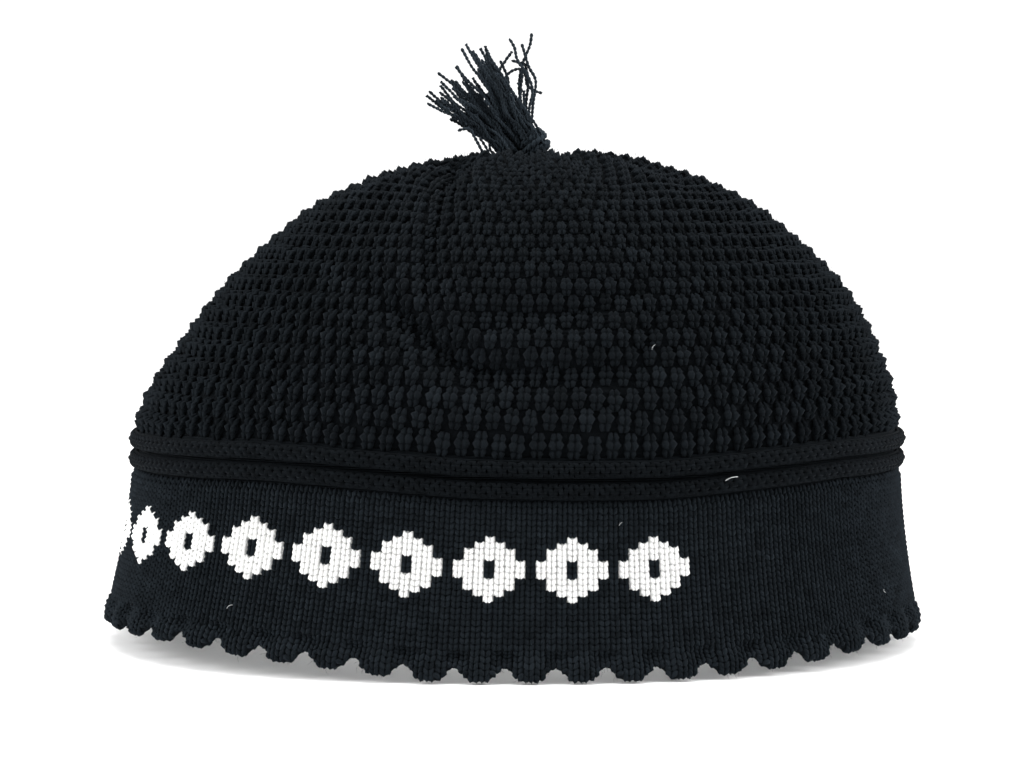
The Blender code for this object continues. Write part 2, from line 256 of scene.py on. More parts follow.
# The hem's outer face: level 1 is its top, level 0 under its rounded lip
def edgingPoints(levels, turns, out=0.0):
    lip, lipTurn = edgingForm["lip"], edgingForm["lipTurn"]
    rise = scallopRise(turns)
    straight = capShape["edgingHeight"] - rise - lip
    down = (1.0 - levels) * (straight + lip * lipTurn)
    curl = np.clip((down - straight) / lip, 0.0, None)
    curled = rise + lip - (lip + out) * np.sin(curl)
    heights = np.where(curl > 0, curled, capShape["edgingHeight"] - down)
    stand = np.where(curl > 0, -lip + (lip + out) * np.cos(curl), out)
    lobe = (1 - np.cos(fullTurn * lobePhase(turns))) / 2
    over = np.clip(heights / edgingForm["puffTall"], edgingForm["puffFoot"], 1.0)
    swell = edgingForm["puff"] * lobe * np.sin(math.pi * over) ** edgingForm["puffPower"]
    fromHollow = (heights - edgingForm["hollowUp"]) / edgingForm["hollowTall"]
    sink = edgingForm["hollow"] * (1 - lobe) ** 2 * np.exp(-(fromHollow**2))
    facing = np.clip(np.cos(curl), 0.0, 1.0)
    return wallPoints(heights, turns, stand + (swell - sink) * facing)


def sectionRows(shares):
    return smoothRows(crownSections, np.clip(shares, 0.0, 1.0) * (len(crownSections) - 1))


def creasePress(x, z, creases):
    deepest = np.zeros_like(x)
    for crease in creases:
        places = [
            (across * topHalfWidth, crownFoot + up * capShape["crownHeight"], deep)
            for across, up, deep in crease
        ]
        for (ax, az, aDeep), (bx, bz, bDeep) in zip(places, places[1:]):
            runX, runZ = bx - ax, bz - az
            t = np.clip(((x - ax) * runX + (z - az) * runZ) / (runX**2 + runZ**2), 0.0, 1.0)
            away = np.hypot(x - ax - t * runX, z - az - t * runZ)
            deep = aDeep + (bDeep - aDeep) * t
            soft = capShape["creaseDepth"] * np.exp(-((away / capShape["creaseWidth"]) ** 2))
            core = capShape["creaseCore"] * np.exp(-((away / capShape["creaseCoreWidth"]) ** 2))
            deepest = np.maximum(deepest, deep * (soft + core))
    return deepest


# The crown's outer face: share 0 is its foot, share 1 the middle of its gathered top
def crownPoints(shares, turns, out=0.0):
    shares, turns = np.broadcast_arrays(np.asarray(shares, float), np.asarray(turns, float))
    angles = anglesAt(turns)
    up, width, depth, lean, gather = np.moveaxis(sectionRows(shares), -1, 0)
    step = 0.5 / len(crownSections)
    below = sectionRows(np.clip(shares - step, 0, 1))
    above = sectionRows(np.clip(shares + step, 0, 1))
    inward = (below[..., 1] - above[..., 1]) * topHalfWidth
    risen = (above[..., 0] - below[..., 0]) * capShape["crownHeight"]
    length = np.hypot(inward, risen)
    sideways = np.where(shares <= 0.0, 1.0, risen / length)
    upward = np.where(shares <= 0.0, 0.0, inward / length)
    leanX = lean * capShape["crownLean"]
    height = crownFoot + up * capShape["crownHeight"]
    halfWidth, halfDepth, stand = width * topHalfWidth, depth * topHalfDepth, out * sideways
    tiny = 1e-6
    outerX, outerY = planPoints(angles, np.maximum(halfWidth, tiny), np.maximum(halfDepth, tiny))
    x, y = planPoints(angles, np.maximum(halfWidth + stand, tiny), np.maximum(halfDepth + stand, tiny))
    outer = np.stack([outerX + leanX, outerY, height], axis=-1)
    point = np.stack([x + leanX, y, height + out * upward], axis=-1)
    fold = 0.5 + 0.5 * np.cos(fullTurn * capShape["gathers"] * turns)
    front = creasePress(outer[..., 0], height, frontCreases)
    back = creasePress(outer[..., 0], height, backCreases)
    toBack = np.clip(0.5 + outerY / capShape["creaseMeet"], 0.0, 1.0)
    toBack = toBack * toBack * (3 - 2 * toBack)
    press = gather * fold * capShape["gatherDepth"] + front * (1 - toBack) + back * toBack
    towardsX = leanX + capShape["pressAcross"] * outerX
    towardsZ = capShape["pressUp"] * height + (1 - capShape["pressUp"]) * crownFoot
    inwards = unit(np.stack([towardsX, np.zeros_like(leanX), towardsZ], axis=-1) - outer)
    point = point + press[..., None] * inwards
    point[..., 2] += waveAt(outer[..., 0]) * np.clip(1.0 - up / capShape["waveFade"], 0.0, 1.0) ** 2
    return point


# How far off the neighbours lie that give the direction of a point's face
turnStep = 0.0004
levelSteps = {wallPoints: 0.0001, edgingPoints: 0.01, crownPoints: 0.004}


# Points on a surface, with the way across the knit and the way the face looks
def framesAt(pointsOf, levels, turns, out):
    step = levelSteps[pointsOf]
    points = pointsOf(levels, turns, out)
    along = pointsOf(levels, turns + turnStep, out) - pointsOf(levels, turns - turnStep, out)
    upward = pointsOf(levels + step, turns, out) - pointsOf(levels - step, turns, out)
    facing = unit(np.cross(along, upward))
    return points, unit(np.cross(upward, facing)), facing


# Nodes, for materials and for geometry
def addSocket(tree, label, kind, way, value=None):
    socket = tree.interface.new_socket(label, in_out=way, socket_type=kind)
    if value is not None:
        socket.default_value = value


def putNode(tree, kind, inputs=None, **settings):
    node = tree.nodes.new(kind)
    for key, value in settings.items():
        setattr(node, key, value)
    for key, value in (inputs or {}).items():
        if isinstance(value, bpy.types.NodeSocket):
            tree.links.new(value, node.inputs[key])
        else:
            node.inputs[key].default_value = value
    return node


def mathNode(tree, operation, a, b=None, c=None):
    inputs = {k: v for k, v in enumerate((a, b, c)) if v is not None}
    return putNode(tree, "ShaderNodeMath", inputs, operation=operation).outputs[0]


# Shade and height of spun cotton: soft mottling, fine fibres and the shade of each stitch
def buildYarnNap():
    group = bpy.data.node_groups.new("yarnNap", "ShaderNodeTree")
    for label, kind, value in (
        ("Place", "NodeSocketVector", None),
        ("Stitch Shade", "NodeSocketFloat", 0.5),
        ("Mottle Scale", "NodeSocketFloat", 260.0),
        ("Fibre Scale", "NodeSocketFloat", 2600.0),
        ("Dark", "NodeSocketColor", (0.008, 0.009, 0.011, 1)),
        ("Light", "NodeSocketColor", (0.02, 0.022, 0.026, 1)),
    ):
        addSocket(group, label, kind, "INPUT", value)
    addSocket(group, "Colour", "NodeSocketColor", "OUTPUT")
    addSocket(group, "Height", "NodeSocketFloat", "OUTPUT")
    ends = putNode(group, "NodeGroupInput").outputs
    soft = {"Vector": ends["Place"], "Scale": ends["Mottle Scale"], "Detail": 2.0}
    fine = {"Vector": ends["Place"], "Scale": ends["Fibre Scale"], "Detail": 4.0, "Roughness": 0.7}
    mottle, fibre = (putNode(group, "ShaderNodeTexNoise", grain).outputs["Fac"] for grain in (soft, fine))
    both = mathNode(group, "MULTIPLY_ADD", fibre, 0.55, mathNode(group, "MULTIPLY", mottle, 0.45))
    shade = mathNode(group, "SUBTRACT", ends["Stitch Shade"], 0.5)
    total = mathNode(group, "MULTIPLY_ADD", shade, 0.6, both)
    spread = putNode(group, "ShaderNodeMapRange", {"Value": total, "From Min": 0.25, "From Max": 0.8})
    colours = {"Factor": spread.outputs[0], 6: ends["Dark"], 7: ends["Light"]}
    mix = putNode(group, "ShaderNodeMix", colours, data_type="RGBA")
    putNode(group, "NodeGroupOutput", {"Colour": mix.outputs[2], "Height": fibre})
    return group


yarnNap = buildYarnNap()


def newMaterial(name, finish):
    material = bpy.data.materials.new(name)
    material.use_nodes = True
    shader = material.node_tree.nodes["Principled BSDF"]
    for label, value in finish.items():
        shader.inputs[label].default_value = value
    return material, material.node_tree, shader


# Gives a shader its colour and the relief of its cloth, which is tall metres at full strength
def dressShader(tree, shader, colour, relief, strength, tall):
    bump = putNode(tree, "ShaderNodeBump", {"Strength": strength, "Distance": tall, "Height": relief})
    tree.links.new(colour, shader.inputs["Base Color"])
    tree.links.new(bump.outputs["Normal"], shader.inputs["Normal"])


def placeOn(tree):
    return putNode(tree, "ShaderNodeTexCoord").outputs["Object"]


def readAttribute(tree, label, output="Fac"):
    return putNode(tree, "ShaderNodeAttribute", attribute_name=label).outputs[output]


def makeYarn(name, dark, light, sheen=0.02, sheenTint=(0.62, 0.72, 0.86), bump=0.35, mottle=260.0):
    finish = {
        "Roughness": 0.95,
        "Specular IOR Level": 0.05,
        "Sheen Weight": sheen,
        "Sheen Roughness": 0.45,
        "Sheen Tint": (*sheenTint, 1),
    }
    material, tree, shader = newMaterial(name, finish)
    looks = {
        "Place": placeOn(tree),
        "Stitch Shade": readAttribute(tree, "yarnTone"),
        "Mottle Scale": mottle,
        "Fibre Scale": 2600.0,
        "Dark": (*dark, 1),
        "Light": (*light, 1),
    }
    nap = putNode(tree, "ShaderNodeGroup", looks, node_tree=yarnNap).outputs
    dressShader(tree, shader, nap["Colour"], nap["Height"], bump, 0.0004)
    return material


# Black cotton with painted light and shade: each piece's yarn is made paler or deeper to stand in for the
# light it gets
def blackYarn(name, pale, **more):
    dark = [pale * value for value in (0.0034, 0.0046, 0.0057)]
    light = [pale * value for value in (0.0086, 0.0114, 0.0142)]
    return makeYarn(name, dark, light, **more)


# Painted light and shade, piece by piece: the band, the hem and most of all the tassel are made paler, and
# the welts and the bobbles' hearts deeper, than one black yarn would be
bandYarn = blackYarn("bandBlackCotton", 1.40)
crownYarn = blackYarn("crownBlackCotton", 0.92, mottle=200.0)
bobbleHeart = blackYarn("bobbleHeart", 0.62, mottle=200.0)
weltYarn = blackYarn("weltBlackCotton", 0.55)
edgingYarn = blackYarn("edgingBlackCotton", 1.55)
tasselYarn = blackYarn("tasselBlackCotton", 3.5, sheen=0.05, mottle=500.0)
whiteYarn = makeYarn(
    "whiteCotton", (0.80, 0.80, 0.79), (0.94, 0.94, 0.93), sheen=0.05, sheenTint=(1, 1, 1), bump=0.3
)
lintFibre = makeYarn(
    "whiteLint", (0.6, 0.62, 0.63), (0.85, 0.86, 0.87), sheen=0.1, sheenTint=(1, 1, 1), bump=0.05
)


# The knit behind the stitches, with the ridges of the wrong side; its colour is made deeper than the
# yarn's, as painted shade in the gaps between stitches
def makeLining(name, pale, withFigures=False):
    material, tree, shader = newMaterial(name, {"Roughness": 0.95, "Specular IOR Level": 0.04})
    looks = {
        "Place": placeOn(tree),
        "Dark": (*(pale * value for value in (0.0010, 0.0013, 0.0016)), 1),
        "Light": (*(pale * value for value in (0.0030, 0.0038, 0.0046)), 1),
    }
    nap = putNode(tree, "ShaderNodeGroup", looks, node_tree=yarnNap).outputs
    colour = nap["Colour"]
    if withFigures:
        colours = {"Factor": readAttribute(tree, "whiteKnit"), 6: colour, 7: (0.7, 0.7, 0.69, 1)}
        colour = putNode(tree, "ShaderNodeMix", colours, data_type="RGBA").outputs[2]
    ridges = putNode(
        tree,
        "ShaderNodeTexWave",
        {"Vector": readAttribute(tree, "knitPlace", "Vector"), "Scale": 1.0, "Distortion": 0.6},
        wave_type="BANDS",
        bands_direction="Y",
    )
    relief = mathNode(tree, "MULTIPLY_ADD", ridges.outputs["Fac"], 0.7, nap["Height"])
    dressShader(tree, shader, colour, relief, 0.6, 0.0006)
    return material


# Painted shade, lining by lining: the welts' cores are deepest, and the crown's is deeper than the band's
# and the hem's
lining = makeLining("knitBack", 1.9)
darkLining = makeLining("weltHeart", 0.6)
edgingLining = makeLining("edgingKnitBack", 3.2)
bandLining = makeLining("bandKnitBack", 3.2, withFigures=True)


# Geometry node trees
def newTree(name, sizes):
    tree = bpy.data.node_groups.new(name, "GeometryNodeTree")
    tree.is_modifier = True
    addSocket(tree, "Geometry", "NodeSocketGeometry", "INPUT")
    for label, kind, value in sizes:
        addSocket(tree, label, kind, "INPUT", value)
    addSocket(tree, "Geometry", "NodeSocketGeometry", "OUTPUT")
    return tree, putNode(tree, "NodeGroupInput").outputs


def endTree(tree, ends, geometry):
    whole = putNode(tree, "GeometryNodeRealizeInstances", {"Geometry": geometry})
    shading = {"Geometry": whole.outputs[0], "Shade Smooth": True}
    smooth = putNode(tree, "GeometryNodeSetShadeSmooth", shading)
    dressing = {"Geometry": smooth.outputs[0], "Material": ends["Material"]}
    dressed = putNode(tree, "GeometryNodeSetMaterial", dressing)
    out = putNode(tree, "NodeGroupOutput")
    tree.links.new(dressed.outputs[0], out.inputs[0])
    return tree


def named(tree, label, kind):
    node = putNode(tree, "GeometryNodeInputNamedAttribute", {"Name": label}, data_type=kind)
    return node.outputs["Attribute"]


# Tubes round the curves, with as many sides as the tree is asked for
def tubesRound(tree, ends, curves, radius):
    circle = {"Resolution": ends["Sides"], "Radius": 1.0}
    profile = putNode(tree, "GeometryNodeCurvePrimitiveCircle", circle, mode="RADIUS").outputs[0]
    tube = {"Curve": curves, "Profile Curve": profile, "Scale": radius, "Fill Caps": True}
    return putNode(tree, "GeometryNodeCurveToMesh", tube).outputs[0]


# Sets a shape on every point of the field, turned and sized by the point's own attributes
def setOnPoints(tree, ends, shape):
    turned = putNode(
        tree,
        "FunctionNodeAxesToRotation",
        {0: named(tree, "facing", "FLOAT_VECTOR"), 1: named(tree, "across", "FLOAT_VECTOR")},
        primary_axis="Z",
        secondary_axis="X",
    )
    spots = {
        "Points": ends["Geometry"],
        "Instance": shape,
        "Rotation": turned.outputs[0],
        "Scale": named(tree, "size", "FLOAT_VECTOR"),
    }
    return endTree(tree, ends, putNode(tree, "GeometryNodeInstanceOnPoints", spots).outputs[0])


# A pair of bent strands, mirrored left and right, set on every point of the field
def buildStitchTree():
    tree, ends = newTree(
        "stitchField",
        (
            ("Start", "NodeSocketVector", (0.1, -0.5, 0.0)),
            ("Bend", "NodeSocketVector", (0.4, 0.0, 0.2)),
            ("End", "NodeSocketVector", (0.4, 0.6, 0.0)),
            ("Yarn Radius", "NodeSocketFloat", 0.2),
            ("Tip Share", "NodeSocketFloat", 0.5),
            ("Segments", "NodeSocketInt", 2),
            ("Sides", "NodeSocketInt", 4),
            ("Material", "NodeSocketMaterial", None),
        ),
    )
    factor = putNode(tree, "GeometryNodeSplineParameter").outputs["Factor"]
    swell = mathNode(tree, "SINE", mathNode(tree, "MULTIPLY", factor, math.pi))
    spare = mathNode(tree, "SUBTRACT", 1.0, ends["Tip Share"])
    body = mathNode(tree, "MULTIPLY_ADD", swell, spare, ends["Tip Share"])
    radius = mathNode(tree, "MULTIPLY", body, ends["Yarn Radius"])
    points = mathNode(tree, "ADD", ends["Segments"], 1.0)
    both = putNode(tree, "GeometryNodeJoinGeometry")
    for side in (1.0, -1.0):
        line = {"Resolution": 8}
        for part, label in (("Start", "Start"), ("Middle", "Bend"), ("End", "End")):
            mirror = {0: ends[label], 1: (side, 1.0, 1.0)}
            line[part] = putNode(tree, "ShaderNodeVectorMath", mirror, operation="MULTIPLY").outputs[0]
        strand = putNode(tree, "GeometryNodeCurveQuadraticBezier", line).outputs[0]
        stepped = putNode(tree, "GeometryNodeResampleCurve", {"Curve": strand, "Count": points})
        tree.links.new(stepped.outputs[0], both.inputs[0])
    return setOnPoints(tree, ends, tubesRound(tree, ends, both.outputs[0], radius))


# A ball on every point of the field
def buildBallTree():
    sizes = (
        ("Segments", "NodeSocketInt", 6),
        ("Rings", "NodeSocketInt", 4),
        ("Material", "NodeSocketMaterial", None),
    )
    tree, ends = newTree("ballField", sizes)
    fineness = {"Segments": ends["Segments"], "Rings": ends["Rings"], "Radius": 1.0}
    return setOnPoints(tree, ends, putNode(tree, "GeometryNodeMeshUVSphere", fineness).outputs[0])


# Yarn of a given radius along every line of the mesh, thicker or thinner by its own attribute
def buildYarnTree():
    sizes = (
        ("Yarn Radius", "NodeSocketFloat", 0.0005),
        ("Sides", "NodeSocketInt", 5),
        ("Material", "NodeSocketMaterial", None),
    )
    tree, ends = newTree("yarnAlongLines", sizes)
    lines = putNode(tree, "GeometryNodeMeshToCurve", {"Mesh": ends["Geometry"]}).outputs[0]
    radius = mathNode(tree, "MULTIPLY", named(tree, "thick", "FLOAT"), ends["Yarn Radius"])
    return endTree(tree, ends, tubesRound(tree, ends, lines, radius))


stitchTree = buildStitchTree()
ballTree = buildBallTree()
yarnTree = buildYarnTree()


def plainMesh(name, places, edges=(), faces=(), attributes=None):
    mesh = bpy.data.meshes.new(name)
    mesh.from_pydata(np.asarray(places).reshape(-1, 3).tolist(), list(edges), list(faces))
    for label, values in (attributes or {}).items():
        values = np.asarray(values, np.float32)
        vector = values.ndim > 1
        layer = mesh.attributes.new(label, "FLOAT_VECTOR" if vector else "FLOAT", "POINT")
        layer.data.foreach_set("vector" if vector else "value", values.ravel())
    return mesh


def addPiece(name, mesh, nodes):
    piece = bpy.data.objects.new(name, mesh)
    bpy.context.scene.collection.objects.link(piece)
    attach(piece, "root")
    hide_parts(*nodes)
    return piece


# Runs a tree on its seeds and keeps the result as a plain mesh
def grow(name, tree, seedMesh, settings, nodes):
    seed = bpy.data.objects.new(name + "Seeds", seedMesh)
    bpy.context.scene.collection.objects.link(seed)
    modifier = seed.modifiers.new("grow", "NODES")
    modifier.node_group = tree
    for item in tree.interface.items_tree:
        if item.in_out == "INPUT" and item.name in settings:
            modifier[item.identifier] = settings[item.name]
    ready = seed.evaluated_get(bpy.context.evaluated_depsgraph_get())
    mesh = bpy.data.meshes.new_from_object(ready)
    mesh.name = name
    seed.modifiers.remove(modifier)
    bpy.data.objects.remove(seed, do_unlink=True)
    for label in ("facing", "across", "size", "thick"):
        if label in mesh.attributes:
            mesh.attributes.remove(mesh.attributes[label])
    triangles = sum(len(face.vertices) - 2 for face in mesh.polygons)
    print(f"{name}: {triangles} triangles")
    return addPiece(name, mesh, nodes)


def stitchSeeds(name, points, across, facing, size, tone):
    vectors = {"across": across, "facing": facing, "size": size}
    attributes = {label: values.reshape(-1, 3) for label, values in vectors.items()}
    return plainMesh(name, points, attributes={**attributes, "yarnTone": tone.reshape(-1)})


# Two-legged stitches as their piece's own settings say
def growStitches(name, seeds, form, material, nodes, fatter=1.0):
    settings = {
        "Start": form["start"],
        "Bend": form["bend"],
        "End": form["end"],
        "Yarn Radius": form["yarn"] * fatter,
        "Tip Share": form["tip"],
        "Segments": 2,
        "Sides": 4,
        "Material": material,
    }
    grow(name, stitchTree, stitchSeeds(name + "Seed", *seeds), settings, nodes)


# Yarns along lines, each given as its points with one or more thicknesses and shades
def growYarns(name, lines, radius, sides, material, nodes, joined=False):
    edges, thick, tone = [], [], []
    first = 0
    for points, thickness, shade in lines:
        count = len(points)
        edges += [(first + k, first + (k + 1) % count) for k in range(count if joined else count - 1)]
        thick.append(np.broadcast_to(thickness, count))
        tone.append(np.broadcast_to(shade, count))
        first += count
    places = np.concatenate([points for points, thickness, shade in lines])
    attributes = {"thick": np.concatenate(thick), "yarnTone": np.concatenate(tone)}
    seeds = plainMesh(name + "Seed", places, edges, attributes=attributes)
    grow(name, yarnTree, seeds, {"Yarn Radius": radius, "Sides": sides, "Material": material}, nodes)


# A closed skin through rings of points: its last ring joins its first, or a pole closes each
# end. The ridges of its knit are a given distance apart, and go round if it has columns.
def shellMesh(name, rings, material, ridge, columns=None, poles=()):
    count = len(rings[0])
    places = np.concatenate(rings + [np.reshape(poles, (-1, 3))])
    faces = []
    for i in range(len(rings) - 1 if len(poles) else len(rings)):
        low, high = i * count, (i + 1) % len(rings) * count
        faces += [(low + j, low + (j + 1) % count, high + (j + 1) % count, high + j) for j in range(count)]
    if len(poles):
        last = len(rings) * count + 1
        top = (len(rings) - 1) * count
        for j in range(count):
            k = (j + 1) % count
            faces += [(last - 1, k, j), (top + j, top + k, last)]
    knitPlace = places / ridge
    if columns:
        around = np.tile(turnsOf(count) * columns, len(rings))
        knitPlace = np.stack([around, knitPlace[:, 2], np.zeros_like(around)], axis=-1)
    mesh = plainMesh(name, places, faces=faces, attributes={"knitPlace": knitPlace})
    mesh.shade_smooth()
    mesh.materials.append(material)
    return mesh


# The band: plain knit, a V of two legs in each column and row
bandKnit = {
    "columns": 228,
    "rows": 25,
    "rowAt": 0.45,  # how far up its row a stitch lies
    "yarn": 0.00060,
    "whiteFatter": 1.12,  # the white yarn is a little thicker and fills its stitches
    "tip": 0.55,  # thickness of a leg's ends, as a share of its middle's
    "sunk": 0.00040,  # how far the yarn's middle lies behind the band's face
    "start": (0.00028, -0.00070, -0.00006),
    "bend": (0.00064, -0.00002, 0.00036),
    "end": (0.00088, 0.00080, -0.00030),
    "tuck": 0.00075,  # how far the knit sinks in under the lower welt
    "tuckTall": 0.0013,
    "uneven": 0.05,  # of each stitch's size, as a share of it
    "unevenRows": 0.00004,
    "shades": 0.13,  # how far its stitches differ in shade
    "seed": 4,
}
bandBack = {
    "perColumn": 2,  # faces in a column
    "behind": 0.00062,  # how far the wall lies behind the band's face
    "ledge": 0.0016,  # and how far in it steps behind the welts
    "ledgeUp": 0.0002,
    "innerRings": 6,
    "ridge": 0.0016,
}
motif = {
    "first": 13,  # column of the first figure, right of the front's middle
    "pitch": 8,
    "count": 23,
    "lowRow": 8,
    # a stepped lozenge with a slit, row by row from the bottom
    "figure": (
        "...#...",
        "..###..",
        ".#####.",
        ".#####.",
        "###.###",
        "###.###",
        "###.###",
        ".#####.",
        ".#####.",
        "..###..",
        "...#...",
    ),
}


# Columns and rows that are knitted in white
def whiteCells():
    cells = np.zeros((bandKnit["rows"], bandKnit["columns"]), bool)
    middle = round(0.75 * bandKnit["columns"])
    for number in range(motif["count"]):
        centre = middle + motif["first"] - motif["pitch"] * number
        for up, line in enumerate(motif["figure"]):
            for step, mark in enumerate(line):
                column = (centre + step - len(line) // 2) % bandKnit["columns"]
                cells[motif["lowRow"] + up, column] = mark == "#"
    return cells


def tuckAt(heights):
    return bandKnit["tuck"] * np.exp(-(((bandTop - heights) / bandKnit["tuckTall"]) ** 2))


# How far apart the columns lie at each of these places
def columnWidth(pointsOf, levels, turns, columns):
    half = 0.5 / columns
    return np.linalg.norm(pointsOf(levels, turns + half) - pointsOf(levels, turns - half), axis=-1)


# Sizes and shades of stitches, each a little off the even ones
def uneven(form, chance, wide, tall, high):
    jitter = 1 + chance.normal(0, form["uneven"], (*wide.shape, 3))
    tone = np.clip(chance.normal(0.5, form["shades"], wide.shape), 0, 1)
    return np.stack([wide, tall, high], axis=-1) * jitter, tone


def makeBandKnit():
    rows, columns = bandKnit["rows"], bandKnit["columns"]
    chance = np.random.default_rng(bandKnit["seed"])
    rowUp = bandFoot + (np.arange(rows) + bandKnit["rowAt"]) * (bandTop - bandFoot) / rows
    heights, turns = np.meshgrid(rowUp, turnsOf(columns, 0.5), indexing="ij")
    heights = heights + chance.normal(0, bandKnit["unevenRows"], heights.shape)
    points, across, facing = framesAt(wallPoints, heights, turns, -bandKnit["sunk"] - tuckAt(heights))
    wide = columnWidth(wallPoints, heights, turns, columns) / (hemRound / columns)
    size, tone = uneven(bandKnit, chance, wide, np.ones_like(wide), np.ones_like(wide))
    white = whiteCells()
    front = points[..., 1] < 0
    for name, chosen, material, slot, fatter in (
        ("band_knit_front", front & ~white, bandYarn, "band_knit", 1.0),
        ("band_knit_back", ~front & ~white, bandYarn, "band_knit", 1.0),
        ("white_figures", white, whiteYarn, "white_knit", bandKnit["whiteFatter"]),
    ):
        seeds = [values[chosen] for values in (points, across, facing, size, tone)]
        growStitches(name, seeds, bandKnit, material, ["band"], fatter)


# The wall behind the stitches, with a ledge that closes it behind the welts
def makeBandBack():
    rows, columns, perColumn = bandKnit["rows"], bandKnit["columns"], bandBack["perColumn"]
    turns = turnsOf(columns * perColumn)
    rowEdges = bandFoot + np.arange(1, rows + 1) * (bandTop - bandFoot) / rows
    innerUps = np.linspace(bandTop, capShape["edgingHeight"], bandBack["innerRings"])
    levels = [(up, bandBack["behind"] + tuckAt(up)) for up in (capShape["edgingHeight"], *rowEdges)]
    levels += [(up, bandBack["ledge"]) for up in (bandTop + bandBack["ledgeUp"], crownFoot)]
    levels += [(up, capShape["bandWall"]) for up in (crownFoot, *innerUps)]
    rings = [ringOf(wallPoints, up, turns, -inwards) for up, inwards in levels]
    mesh = shellMesh("band_back", rings, bandLining, bandBack["ridge"], columns)
    mask = mesh.attributes.new("whiteKnit", "FLOAT", "FACE")
    white = whiteCells().astype(np.float32)
    values = np.zeros(len(mesh.polygons), np.float32)
    values[: rows * columns * perColumn] = np.repeat(white, perColumn, axis=1).ravel()
    mask.data.foreach_set("value", values)
    addPiece("band_back", mesh, ["band"])


makeBandKnit()
makeBandBack()
print("band done")


# The hem: the same plain knit, swollen into lobes and rounded under
edgingKnit = {
    "rows": 6,
    "top": 1.03,  # level that its rows reach up to, just past the hem's top
    "yarn": 0.00058,
    "tip": 0.6,
    "start": bandKnit["start"],
    "bend": bandKnit["bend"],
    "end": bandKnit["end"],
    "sunk": 0.00040,
    "underLift": 0.00048,  # keeps the lowest stitches on the table
    "uneven": 0.06,
    "shades": 0.13,
    "seed": 9,
}
edgingBack = {
    "perScallop": 9,  # faces in a scallop
    "rings": 12,
    "behind": 0.0006,
    "footUp": 1.2,  # how far up its inner foot lies, in radii of the lip
    "ridge": 0.0016,
}


def makeEdgingKnit():
    rows, columns = edgingKnit["rows"], bandKnit["columns"]
    chance = np.random.default_rng(edgingKnit["seed"])
    rowLevels = turnsOf(rows, 0.5) * edgingKnit["top"]
    levels, turns = np.meshgrid(rowLevels, turnsOf(columns, 0.5), indexing="ij")
    points, across, facing = framesAt(edgingPoints, levels, turns, -edgingKnit["sunk"])
    points[..., 2] += edgingKnit["underLift"] * (1 - levels)
    half = 0.5 / rows
    tall = np.linalg.norm(edgingPoints(levels + half, turns) - edgingPoints(levels - half, turns), axis=-1)
    tall /= (bandTop - bandFoot) / bandKnit["rows"]
    wide = columnWidth(edgingPoints, levels, turns, columns) / (hemRound / columns)
    seeds = (points, across, facing, *uneven(edgingKnit, chance, wide, tall, np.ones_like(tall)))
    growStitches("edging_knit", seeds, edgingKnit, edgingYarn, ["scallop_edging"])


def makeEdgingBack():
    turns = turnsOf(capShape["scallops"] * edgingBack["perScallop"])
    levels = np.linspace(0.0, 1.0, edgingBack["rings"])
    rings = [ringOf(edgingPoints, level, turns, -edgingBack["behind"]) for level in levels]
    innerFoot = scallopRise(turns) + edgingForm["lip"] * edgingBack["footUp"]
    rings.append(ringOf(wallPoints, capShape["edgingHeight"], turns, -capShape["bandWall"]))
    rings.append(wallPoints(innerFoot, turns, -capShape["bandWall"]))
    mesh = shellMesh("edging_back", rings, edgingLining, edgingBack["ridge"], bandKnit["columns"])
    addPiece("edging_back", mesh, ["scallop_edging"])


makeEdgingKnit()
makeEdgingBack()
print("edging done")


# The welts: wavy yarns laid round each roll, every other one half a wave on
weltForm = {
    "waves": 228,
    "perWave": 4,  # points in a wave
    "perStraight": 2,  # and in as much of a yarn that lies straight
    "yarn": 0.00060,
    "yarnIn": 1.05,  # how far its middle lies under the roll's face, in its own radii
    "swing": 0.24,  # radians that a yarn swings up and down the roll
    "uneven": 0.05,
    "shades": 0.2,
    "spots": (-1.36, -0.68, 0.0, 0.68, 1.36),  # where on the roll the yarns lie, in radians
    "wavyWithin": 1.0,  # those nearer to the roll's front than this are wavy
    "thin": 0.32,  # how much thinner and thicker a yarn is along a wave
    "coreDeep": 0.00125,
    "coreSides": 14,
    "ridge": 0.0016,
    "seed": 6,
}


def makeWelt(name, node, up):
    radius = capShape["weltHeight"] / 2
    middleOut = capShape["weltProud"] - radius
    reach = radius - weltForm["yarn"] * weltForm["yarnIn"]
    chance = np.random.default_rng(weltForm["seed"])
    lines = []
    for number, spot in enumerate(weltForm["spots"]):
        wavy = abs(spot) < weltForm["wavyWithin"]
        count = weltForm["waves"] * weltForm["perWave" if wavy else "perStraight"]
        turns = turnsOf(count)
        phase = fullTurn * weltForm["waves"] * turns + (math.pi if number % 2 else 0.0)
        angle = spot + (weltForm["swing"] * np.cos(phase) if wavy else 0.0)
        angle = angle + chance.normal(0, weltForm["uneven"], count)
        points = wallPoints(up + reach * np.sin(angle), turns, middleOut + reach * np.cos(angle))
        thick = 1.0 - weltForm["thin"] * np.cos(2 * phase)
        lines.append((points, thick, np.clip(chance.normal(0.5, weltForm["shades"], count), 0, 1)))
    growYarns(name + "_yarns", lines, weltForm["yarn"], 5, weltYarn, [node], joined=True)
    core = radius - weltForm["coreDeep"]
    turns = turnsOf(weltForm["waves"])
    rings = [
        ringOf(wallPoints, up - core * math.sin(angle), turns, middleOut + core * math.cos(angle))
        for angle in -fullTurn * turnsOf(weltForm["coreSides"])
    ]
    # The core shows between the yarns in the deepest lining, as painted shade
    mesh = shellMesh(name + "_core", rings, darkLining, weltForm["ridge"])
    addPiece(name + "_core", mesh, [node])


makeWelt("lower_roll", "lower_welt", lowerWeltUp)
makeWelt("upper_roll", "upper_welt", upperWeltUp)
print("welts done")


